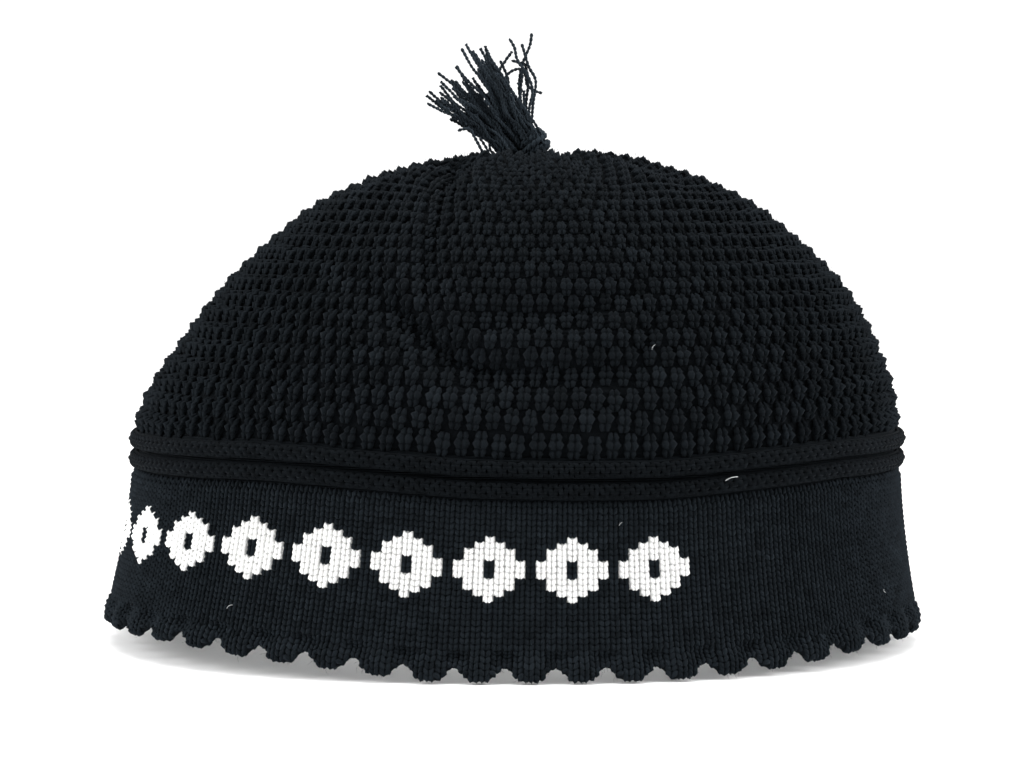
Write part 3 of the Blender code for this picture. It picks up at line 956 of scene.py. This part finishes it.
# The crown: each bobble is a short stack of thick stitches, and each row is set half a step on
bobbles = {
    "rowPitch": 0.0051,
    "topPitch": 0.0032,
    "pitchPower": 1.6,  # more keeps the rows' pitch longer on the way up
    "footGap": 0.0026,
    "topShare": 0.93,  # the knit ends here, in the gathered top
    "measuredTurn": 0.62,  # rows are measured up the crown here, at the front
    # least width of the crown, as a share of the band top's, and bobbles in a row there
    "steps": ((0.63, 120), (0.44, 90), (0.30, 60), (0.19, 40), (0.0, 24)),
    "zones": (("low", 0.26), ("middle", 0.52), ("top", 1.0)),  # pieces, and the share each ends at
    # up as a share of the row's pitch, width as a share of a bobble's, and bulge in metres
    "stack": ((-0.31, 0.82, -0.00038), (0.0, 1.05, 0.00022), (0.305, 0.82, -0.00024)),
    "start": (0.138, -0.56, 0.00),
    "bend": (0.268, 0.0, 0.28),
    "end": (0.150, 0.56, -0.05),
    "yarn": 0.200,
    "tip": 0.66,
    "tall": (0.25, 0.42),  # least and most height of a stitch, as shares of the row's pitch
    "highFrom": 0.0045,  # wider bobbles than this stand out no further
    # the ball of yarn under the stitches, in deeper yarn as painted shade: across and up as shares of a
    # bobble's, high in metres
    "heart": (0.42, 0.50, 0.00114),
    "heartSunk": 0.00055,
    "askew": 0.10,  # radians that the bobbles are turned by, left or right
    "sunk": 0.00056,
    "topSunk": 0.00055,  # how much deeper the bobbles lie at the gathered top
    "topFrom": 0.58,
    "topTo": 0.80,
    "uneven": 0.06,
    "unevenTurns": 0.03,  # as a share of a bobble's width
    "unevenRows": 0.05,  # as a share of the row's pitch
    "shades": 0.15,  # how far the bobbles differ in shade, and the stitches in a bobble
    "stitchShades": 0.08,
    "seed": 21,
}


# Shares up the crown, and their lengths from its foot along its front face
def meridian():
    shares = np.linspace(0.0, bobbles["topShare"], 600)
    points = crownPoints(shares, np.full_like(shares, bobbles["measuredTurn"]))
    steps = np.linalg.norm(np.diff(points, axis=0), axis=1)
    return shares, np.concatenate(([0.0], np.cumsum(steps)))


def makeCrownKnit():
    chance = np.random.default_rng(bobbles["seed"])
    shares, lengths = meridian()
    total = lengths[-1]
    at = bobbles["footGap"]
    heartWide, heartTall, heartHigh = bobbles["heart"]
    groups = {zone: [] for zone, end in bobbles["zones"]}
    hearts = []
    row = 0
    while at < total:
        closer = (bobbles["topPitch"] - bobbles["rowPitch"]) * (at / total) ** bobbles["pitchPower"]
        pitch = bobbles["rowPitch"] + closer
        share = float(np.interp(at, lengths, shares))
        width = float(sectionRows(np.array([share]))[0, 1])
        count = next(number for least, number in bobbles["steps"] if width >= least)
        turns = turnsOf(count, 0.5 * (row % 2)) + chance.normal(0, bobbles["unevenTurns"] / count, count)
        nudge = chance.normal(0, bobbles["unevenRows"] * pitch, count)
        tone = np.clip(chance.normal(0.5, bobbles["shades"], count), 0, 1)
        turned = chance.normal(0, bobbles["askew"], count)[:, None]
        deeper = np.interp(share, (bobbles["topFrom"], bobbles["topTo"]), (0.0, 1.0))
        sunk = bobbles["sunk"] + bobbles["topSunk"] * deeper
        zone = next(name for name, end in bobbles["zones"] if share < end)
        for up, wideShare, bulge in bobbles["stack"]:
            here = np.interp(at + nudge + up * pitch, lengths, shares)
            above = np.interp(at + nudge + up * pitch + pitch / 3, lengths, shares)
            points, across, facing = framesAt(crownPoints, here, turns, bulge - sunk)
            across = np.cos(turned) * across + np.sin(turned) * np.cross(facing, across)
            wide = columnWidth(crownPoints, here, turns, count)
            tall = np.linalg.norm(crownPoints(above, turns) - crownPoints(here, turns), axis=-1)
            tall = np.clip(tall, bobbles["tall"][0] * pitch, bobbles["tall"][1] * pitch)
            jitter = 1 + chance.normal(0, bobbles["uneven"], (count, 3))
            high = np.minimum(wide, bobbles["highFrom"])
            size = np.stack([wide * wideShare, tall, high], axis=-1) * jitter
            shade = tone + chance.normal(0, bobbles["stitchShades"], count)
            groups[zone].append((points, across, facing, size, shade))
            if up == 0.0:
                heartTalls, heartHighs = np.full(count, pitch * heartTall), np.full(count, heartHigh)
                heartSize = np.stack([wide * heartWide, heartTalls, heartHighs], axis=-1)
                deep = (bulge + bobbles["heartSunk"]) * facing
                hearts.append((points - deep, across, facing, heartSize, tone))
        at += pitch
        row += 1
    for zone, stitches in groups.items():
        seeds = [np.concatenate(values) for values in zip(*stitches)]
        growStitches("crown_bobbles_" + zone, seeds, bobbles, crownYarn, ["crown"])
    # The hearts' deeper yarn is painted shade under the bobbles' stitches
    seeds = stitchSeeds("heartSeed", *(np.concatenate(values) for values in zip(*hearts)))
    grow("crown_hearts", ballTree, seeds, {"Material": bobbleHeart}, ["crown"])


crownBack = {
    "columns": 176,
    "behind": 0.0012,  # how far the lining's front lies behind the crown's face
    "innerRings": 24,
    "outerRings": 56,
    "innerTop": 0.93,
    "outerTop": 0.985,
    "ridge": 0.0022,
}


# The lining as one closed skin: inner face, rim, outer face and a pole at each top
def makeCrownBack():
    turns = turnsOf(crownBack["columns"])
    wall, behind = capShape["crownWall"], crownBack["behind"]
    inside = np.linspace(crownBack["innerTop"], 0.0, crownBack["innerRings"])
    outside = np.linspace(0.0, crownBack["outerTop"], crownBack["outerRings"])
    rings = [ringOf(crownPoints, share, turns, -wall) for share in inside]
    rings += [ringOf(crownPoints, share, turns, -behind) for share in outside]
    poles = [crownPoints(1.0, 0.0, -out) for out in (wall, behind)]
    mesh = shellMesh("crown_back", rings, lining, crownBack["ridge"], poles=poles)
    addPiece("crown_back", mesh, ["crown"])


makeCrownKnit()
makeCrownBack()
print("crown done")


# The tassel: two-ply strands that leave the knot together and fan out
tasselForm = {
    "ply": 0.00026,  # radius of one ply
    "apart": 0.00022,  # how far each ply runs from the strand's middle
    "twist": 0.0022,  # length of one full twist
    "step": 0.00046,
    "fanFrom": (-0.0015, 0.0, 0.0012),  # where the tips' leans are measured from, off the knot's middle
    # across and up from the knot's middle, where the outermost strands start
    "rootLeft": (-0.0086, -0.0022),
    "rootRight": (0.0012, -0.0004),
    "rootSpread": (0.0016, 0.0034, 0.0010),
    "leaveLean": (-43.0, -34.0),  # degrees, for the outermost strands at the left and at the right
    "leaveForward": 0.3,  # share of its tip's forward lean that a strand leaves the knot with
    "leaveReach": 0.36,  # share of its reach that it keeps that way
    "arriveFrom": -44.0,  # strands that run more to the left than this many degrees bend down at their tips
    "arriveBend": 0.3,
    "arriveForward": 1.2,
    "arriveReach": 0.34,
    "forward": 17.0,  # degrees that a tip leans to the front or the back at most
    "copies": 7,
    "denseTo": -26.0,  # strands that lean less than this many degrees to the left are single
    "copyLean": (1.0, 2.2),  # degrees, how copies of a strand lean off it: mean and spread
    "copyReach": (0.56, 0.92),  # and how long they are, as shares of its length
    "sway": 0.00045,
    "swayBends": 6,
    "points": 24,
    "curledPoints": 48,
    "curledDepth": 0.002,
    "curledBack": 0.0005,  # how much further back each point of a curled strand lies
    "curledRoot": (-0.001, 0.0005),
    "strayFront": 0.006,
    "aside": (0.12, 1.0, 0.07),  # a direction that no strand runs along, which the plies start from
    "seed": 12,
}
tasselTips = (
    # lean in degrees, length in millimetres from the root
    (-69.4, 28.6),
    (-66.7, 29.2),
    (-63.9, 28.4),
    (-61.9, 26.9),
    (-59.0, 26.8),
    (-56.5, 27.6),
    (-53.8, 29.1),
    (-52.0, 26.1),
    (-46.5, 26.9),
    (-43.8, 26.3),
    (-37.7, 29.6),
    (-33.0, 30.1),
    (-31.0, 27.0),
    (-29.0, 26.8),
    (-27.3, 25.9),
    (-24.6, 24.5),
    (-31.5, 20.0),
    (-29.0, 17.0),
    (-27.0, 13.5),
)
# Curled strands at the right, in millimetres right of and above the knot's middle
curledStrands = (
    ((-3.4, 5.0), (-4.2, 12.9), (-3.7, 16.7), (-3.5, 20.6), (-2.6, 23.1), (-1.6, 25.7), (-1.2, 28.5)),
    ((-1.2, 5.0), (-0.9, 10.5), (-0.2, 16.4), (-1.9, 19.9), (-2.9, 23.1), (-3.7, 25.8)),
    (
        (-1.6, 5.0), (-1.9, 9.1), (-1.1, 12.9), (-1.3, 15.5), (-2.9, 19.0),
        (-4.2, 20.6), (-5.1, 22.5), (-5.6, 25.0), (-6.9, 27.1),
    ),
    ((-2.4, 6.0), (-2.6, 11.0), (-2.1, 16.1), (-2.9, 20.6), (-4.2, 21.1), (-6.3, 21.7)),
    (
        (-5.4, 5.0), (-7.2, 11.0), (-7.7, 17.1), (-6.7, 18.7), (-4.5, 19.6),
        (-2.9, 18.3), (-2.3, 15.5), (-0.4, 14.1), (1.4, 13.6),
    ),
    ((-3.2, 5.4), (-4.3, 11.6), (-3.8, 14.2), (-4.7, 16.1)),
    ((-4.4, 4.5), (-8.0, 13.0), (-9.3, 18.7), (-8.5, 20.7), (-6.2, 24.0)),
    ((-2.6, 5.0), (-3.8, 10.5), (-4.4, 15.0), (-4.0, 19.5)),
    ((-2.0, 5.2), (-3.0, 9.5), (-3.2, 14.0)),
)
# Strays that lie low at the left, measured in the same way
strayStrands = (
    ((-13.2, -3.4), (-13.8, -1.2), (-15.4, 1.8), (-16.6, 4.0), (-18.2, 4.2), (-19.7, 3.7)),
    ((-11.6, -2.8), (-12.6, -0.6), (-14.2, 1.9)),
)


# Evenly stepped points on a smooth line through the given ones
def smoothPath(points, count):
    return smoothRows(points, np.linspace(0, len(points) - 1, count))


def evenPath(points, step):
    lengths = np.concatenate(([0.0], np.cumsum(np.linalg.norm(np.diff(points, axis=0), axis=1))))
    count = max(int(lengths[-1] / step), 4)
    wanted = np.linspace(0, lengths[-1], count)
    return np.stack([np.interp(wanted, lengths, points[:, k]) for k in range(3)], axis=-1), wanted


# The two plies of a strand, twisted round its path
def pliesOf(path, chance):
    points, along = evenPath(path, tasselForm["step"])
    tangent = unit(np.gradient(points, axis=0))
    side = unit(np.cross(tangent, np.array(tasselForm["aside"])))
    other = np.cross(tangent, side)
    turn = fullTurn * (along / tasselForm["twist"] + chance.random())
    plies = []
    for half in (0.0, math.pi):
        swirl = np.cos(turn + half)[:, None] * side + np.sin(turn + half)[:, None] * other
        plies.append(points + tasselForm["apart"] * swirl)
    return plies


def way(lean, forward):
    lean, forward = math.radians(lean), math.radians(forward)
    flat = math.cos(forward)
    return np.array((math.sin(lean) * flat, -math.sin(forward), math.cos(lean) * flat))


def bentPath(start, leave, arrive, tip):
    reach = np.linalg.norm(tip - start)
    bendA = start + leave * reach * tasselForm["leaveReach"]
    bendB = tip - arrive * reach * tasselForm["arriveReach"]
    t = np.linspace(0, 1, tasselForm["points"])[:, None]
    return (1 - t) ** 3 * start + 3 * t * (1 - t) ** 2 * bendA + 3 * t * t * (1 - t) * bendB + t**3 * tip


def knotMiddle():
    low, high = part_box("tassel_knot")
    return np.array((low + high) / 2)


# One straight strand's path; across is 0 for the outermost at the left and 1 at the right
def strandPath(knot, lean, length, across, copied, chance):
    forward = chance.uniform(-tasselForm["forward"], tasselForm["forward"])
    mean, spread = tasselForm["copyLean"]
    here = lean + (chance.normal(0, spread) + mean if copied else 0.0)
    reach = length / 1000 * (chance.uniform(*tasselForm["copyReach"]) if copied else 1.0)
    tip = knot + np.array(tasselForm["fanFrom"]) + way(here, forward) * reach
    sides = zip(tasselForm["rootLeft"], tasselForm["rootRight"])
    rootX, rootZ = (left + (right - left) * across for left, right in sides)
    spreadOut = chance.uniform(-1, 1, 3) * np.array(tasselForm["rootSpread"])
    start = knot + np.array((rootX, 0.0, rootZ)) + spreadOut
    leaveLeft, leaveRight = tasselForm["leaveLean"]
    leave = way(leaveLeft + (leaveRight - leaveLeft) * across, forward * tasselForm["leaveForward"])
    straight = math.degrees(math.atan2(tip[0] - start[0], tip[2] - start[2]))
    bend = tasselForm["arriveBend"] * (straight - tasselForm["arriveFrom"])
    arrive = way(straight + bend, forward * tasselForm["arriveForward"])
    sway = chance.normal(0, tasselForm["sway"], (tasselForm["swayBends"], 3))
    sway[0] = 0
    return bentPath(start, leave, arrive, tip) + smoothPath(sway, tasselForm["points"])


def makeTassel():
    chance = np.random.default_rng(tasselForm["seed"])
    knot = knotMiddle()
    paths = []
    leans = [lean for lean, length in tasselTips]
    for lean, length in tasselTips:
        across = (lean - min(leans)) / (max(leans) - min(leans))
        for copy in range(tasselForm["copies"] if lean < tasselForm["denseTo"] else 1):
            paths.append(strandPath(knot, lean, length, across, copy > 0, chance))
    rootX, rootZ = tasselForm["curledRoot"]
    for line in curledStrands:
        depth = chance.uniform(-tasselForm["curledDepth"], tasselForm["curledDepth"])
        points = [knot + np.array((rootX, depth, rootZ))]
        for k, (x, z) in enumerate(line):
            points.append(knot + np.array((x / 1000, depth + tasselForm["curledBack"] * k, z / 1000)))
        paths.append(smoothPath(points, tasselForm["curledPoints"]))
    for line in strayStrands:
        points = [knot + np.array((x / 1000, -tasselForm["strayFront"], z / 1000)) for x, z in line]
        paths.append(smoothPath(points, tasselForm["points"]))
    lines = []
    for path in paths:
        shade = float(np.clip(chance.normal(0.5, 0.2), 0, 1))
        lines += [(ply, 1.0, shade) for ply in pliesOf(path, chance)]
    growYarns("tassel_strands", lines, tasselForm["ply"], 4, tasselYarn, ["tassel"])


knotForm = {
    "yarn": 0.00052,
    "apart": 0.00042,
    "twists": 8,  # in one turn
    "lean": -34.0,
    "slant": (9.0, 12.0),  # degrees that a turn may be off, sideways and forwards
    # along the tassel from the knot's middle, and radius of each turn, in metres
    "turns": ((-0.0018, 0.0024), (-0.0006, 0.0031), (0.0006, 0.0034), (0.0018, 0.0032), (0.0030, 0.0027)),
    "left": 0.0003,
    "points": 44,
    "seed": 3,
}


# Two-ply yarn wound round the tassel's root, each turn at its own slant
def makeKnot():
    chance = np.random.default_rng(knotForm["seed"])
    middle = knotMiddle() - np.array((knotForm["left"], 0.0, 0.0))
    angle = fullTurn * turnsOf(knotForm["points"])
    sideways, forwards = knotForm["slant"]
    lines = []
    for along, wide in knotForm["turns"]:
        lean = knotForm["lean"] + chance.uniform(-sideways, sideways)
        axis = unit(way(lean, chance.uniform(-forwards, forwards)))
        side = unit(np.cross(axis, np.array((0.0, 1.0, 0.0))))
        other = np.cross(axis, side)
        out = np.cos(angle)[:, None] * side + np.sin(angle)[:, None] * other
        for half in (0.0, math.pi):
            twist = (angle * knotForm["twists"] + half)[:, None]
            swirl = np.cos(twist) * out + np.sin(twist) * axis
            lines.append((middle + axis * along + wide * out + knotForm["apart"] * swirl, 1.0, 0.5))
    nodes = ["tassel_knot"]
    growYarns("knot_turns", lines, knotForm["yarn"], 6, tasselYarn, nodes, joined=True)


makeTassel()
makeKnot()
print("tassel done")


# Loose fibres of the spun cotton, three points each, that stand off the knit and bend over
fuzzForm = {
    "shortest": 0.0008,
    "longest": 0.0022,
    "radius": 0.000026,
    "thick": (1.0, 0.9, 0.5),  # at each of the three points, as shares of the radius
    "from": -0.0003,  # where they leave the knit, from its outer face
    "stand": (0.55, 0.80),  # how far the second and third point stand off, as shares of the length
    "sweep": 0.9,  # how far the tip lies over sideways at most
    "sweepMiddle": 0.25,  # and the second point, as a share of that
    "lowest": 0.0002,  # none goes through the table
    "seed": 31,
}
fuzzPatches = (
    # piece, fibres, surface, lowest and highest level, material, slot, node
    ("crown_fuzz", 3000, crownPoints, (0.02, 0.80), crownYarn, "crown_knit", "crown"),
    ("band_fuzz", 1500, wallPoints, (bandFoot, bandTop), bandYarn, "band_knit", "band"),
    ("edging_fuzz", 700, edgingPoints, (0.12, 0.95), edgingYarn, "edging_knit", "scallop_edging"),
)


def makeFuzz(name, count, pointsOf, levelRange, material, slot, node):
    chance = np.random.default_rng(fuzzForm["seed"])
    lowest, highest = levelRange
    levels, turns = lowest + (highest - lowest) * chance.random(count), chance.random(count)
    points, across, facing = framesAt(pointsOf, levels, turns, fuzzForm["from"])
    longer = (fuzzForm["longest"] - fuzzForm["shortest"]) * chance.random(count) ** 2
    length = (fuzzForm["shortest"] + longer)[:, None]
    angle = fullTurn * chance.random(count)[:, None]
    sideways = fuzzForm["sweep"] * (np.cos(angle) * across + np.sin(angle) * np.cross(facing, across))
    middleStand, tipStand = fuzzForm["stand"]
    middle = points + length * (middleStand * facing + fuzzForm["sweepMiddle"] * sideways)
    tip = points + length * (tipStand * facing + chance.random(count)[:, None] * sideways)
    places = np.stack([points, middle, tip], axis=1)
    places[..., 2] = np.maximum(places[..., 2], fuzzForm["lowest"])
    lines = [(place, fuzzForm["thick"], shade) for place, shade in zip(places, chance.random(count))]
    growYarns(name, lines, fuzzForm["radius"], 3, material, [node])


for patch in fuzzPatches:
    makeFuzz(*patch)
print("fuzz done")


# A few short white fibres that cling to the front of the knit
lintForm = {
    "yarn": 0.00007,
    "points": 12,
    "offBand": 0.0002,  # how far they lie off the band and the welts, and off the crown
    "offCrown": 0.0008,
    "arch": 0.5,  # how far they bow out of the face, as a share of their bow
    "samples": 400,  # places round the front that the nearest is picked from
    "risingRows": 8,  # rows of crownSections, from its foot, whose height tells them apart
}
lintHairs = (
    # across, up, length, lean in degrees, bow, thickness
    (0.0505, 0.0462, 0.0030, 72.0, 0.0003, 1.0),
    (-0.0660, 0.0118, 0.0016, 60.0, 0.0003, 0.7),
    (0.0325, 0.0760, 0.0013, 35.0, 0.0002, 0.6),
    (0.0250, 0.0372, 0.0010, 40.0, 0.0002, 0.5),
    (0.0900, 0.0135, 0.0010, -30.0, 0.0002, 0.6),
)


# The place at the front of the cap, this far across and up
def frontPlace(x, z):
    turns = 0.5 + np.linspace(0.0, 1.0, lintForm["samples"]) / 2
    if z < crownFoot:
        ring = ringOf(wallPoints, z, turns, capShape["weltProud"] * (z > bandTop) + lintForm["offBand"])
    else:
        rising = np.array(crownSections)[: lintForm["risingRows"], 0]
        shares = np.arange(len(rising)) / (len(crownSections) - 1)
        share = np.interp(z, crownFoot + rising * capShape["crownHeight"], shares)
        ring = ringOf(crownPoints, share, turns, lintForm["offCrown"])
    return ring[np.argmin(abs(ring[:, 0] - x))]


def makeLint():
    t = np.linspace(-0.5, 0.5, lintForm["points"])[:, None]
    lines = []
    for x, z, length, lean, bow, share in lintHairs:
        bowWay = way(lean - 90.0, 0.0) + np.array((0.0, -lintForm["arch"], 0.0))
        hair = frontPlace(x, z) + length * t * way(lean, 0.0) + bow * np.cos(math.pi * t) * bowWay
        lines.append((hair, share, 0.5))
    growYarns("lint_hairs", lines, lintForm["yarn"], 4, lintFibre, ["crown"])


makeLint()
print("lint done")


# Camera, floor and light
studio = {
    "elevation": 4.0,
    "aim": (0.0, 0.0, 0.060),
    "distance": 0.680,
    "lens": 94.0,
    "middleRow": 398.2,  # row of the picture that the aim falls on, of 768
    "floorHalf": 1.9,
    "roomFront": 0.24,  # how bright the room is behind the camera
    "roomBack": 1.15,  # and behind the cap
    "roomFade": (-0.7, 0.5),  # from where to where it brightens, along Y of the sky's direction
    "lamps": {
        # name: place, size, strength in watts
        "left": ((-1.7, -0.5, 1.0), 1.2, 38.0),
        "right": ((1.7, -0.4, 1.0), 1.2, 38.0),
        "top": ((0.0, 0.1, 1.8), 1.6, 26.0),
        "underCap": ((0.0, 0.0, 0.085), 0.05, 0.06),  # the notches of the hem look onto a pale floor
    },
}


def addCamera():
    tilt = math.radians(studio["elevation"])
    camera = bpy.data.objects.new("camera", bpy.data.cameras.new("camera"))
    away = Vector((0, -math.cos(tilt), math.sin(tilt)))
    camera.location = Vector(studio["aim"]) + studio["distance"] * away
    camera.rotation_euler = (math.pi / 2 - tilt, 0, 0)
    camera.data.lens = studio["lens"]
    camera.data.sensor_width = 36
    camera.data.shift_y = (studio["middleRow"] - 384) / 1024
    bpy.context.scene.collection.objects.link(camera)
    bpy.context.scene.camera = camera


def addFloor():
    half = studio["floorHalf"]
    finish = {"Base Color": (0.9, 0.9, 0.9, 1), "Roughness": 0.9, "Specular IOR Level": 0.1}
    mesh = bpy.data.meshes.new("floor")
    corners = [(half * x, half * y, 0) for x, y in ((-1, -1), (1, -1), (1, 1), (-1, 1))]
    mesh.from_pydata(corners, [], [(0, 1, 2, 3)])
    mesh.materials.append(newMaterial("paleFloor", finish)[0])
    floor = bpy.data.objects.new("floor", mesh)
    bpy.context.scene.collection.objects.link(floor)


def addLamps():
    for name, (place, size, strength) in studio["lamps"].items():
        lamp = bpy.data.lights.new(name, "AREA")
        lamp.shape = "SQUARE"
        lamp.size = size
        lamp.energy = strength
        holder = bpy.data.objects.new(name, lamp)
        holder.location = place
        holder.rotation_euler = (Vector(studio["aim"]) - Vector(place)).to_track_quat("-Z", "Y").to_euler()
        bpy.context.scene.collection.objects.link(holder)


# A bright room behind and beside the cap, dimmer behind the camera. Seen directly it is
# pale all round, so the cap stands before the same plain ground from every side.
def addRoom():
    world = bpy.data.worlds.new("studio")
    bpy.context.scene.world = world
    world.use_nodes = True
    sky = world.node_tree
    background = sky.nodes["Background"].inputs
    background["Color"].default_value = (1, 1, 1, 1)
    along = putNode(sky, "ShaderNodeSeparateXYZ", {0: placeOn(sky)}).outputs["Y"]
    fade = {0: along}
    fade["From Min"], fade["From Max"] = studio["roomFade"]
    fade["To Min"], fade["To Max"] = studio["roomFront"], studio["roomBack"]
    glow = putNode(sky, "ShaderNodeMapRange", fade).outputs[0]
    seen = putNode(sky, "ShaderNodeLightPath").outputs["Is Camera Ray"]
    strength = putNode(sky, "ShaderNodeMix", {"Factor": seen, "A": glow, "B": studio["roomBack"]})
    sky.links.new(strength.outputs[0], background["Strength"])


addCamera()
addFloor()
addLamps()
addRoom()
bpy.context.scene.view_settings.view_transform = "Standard"
print("studio done")
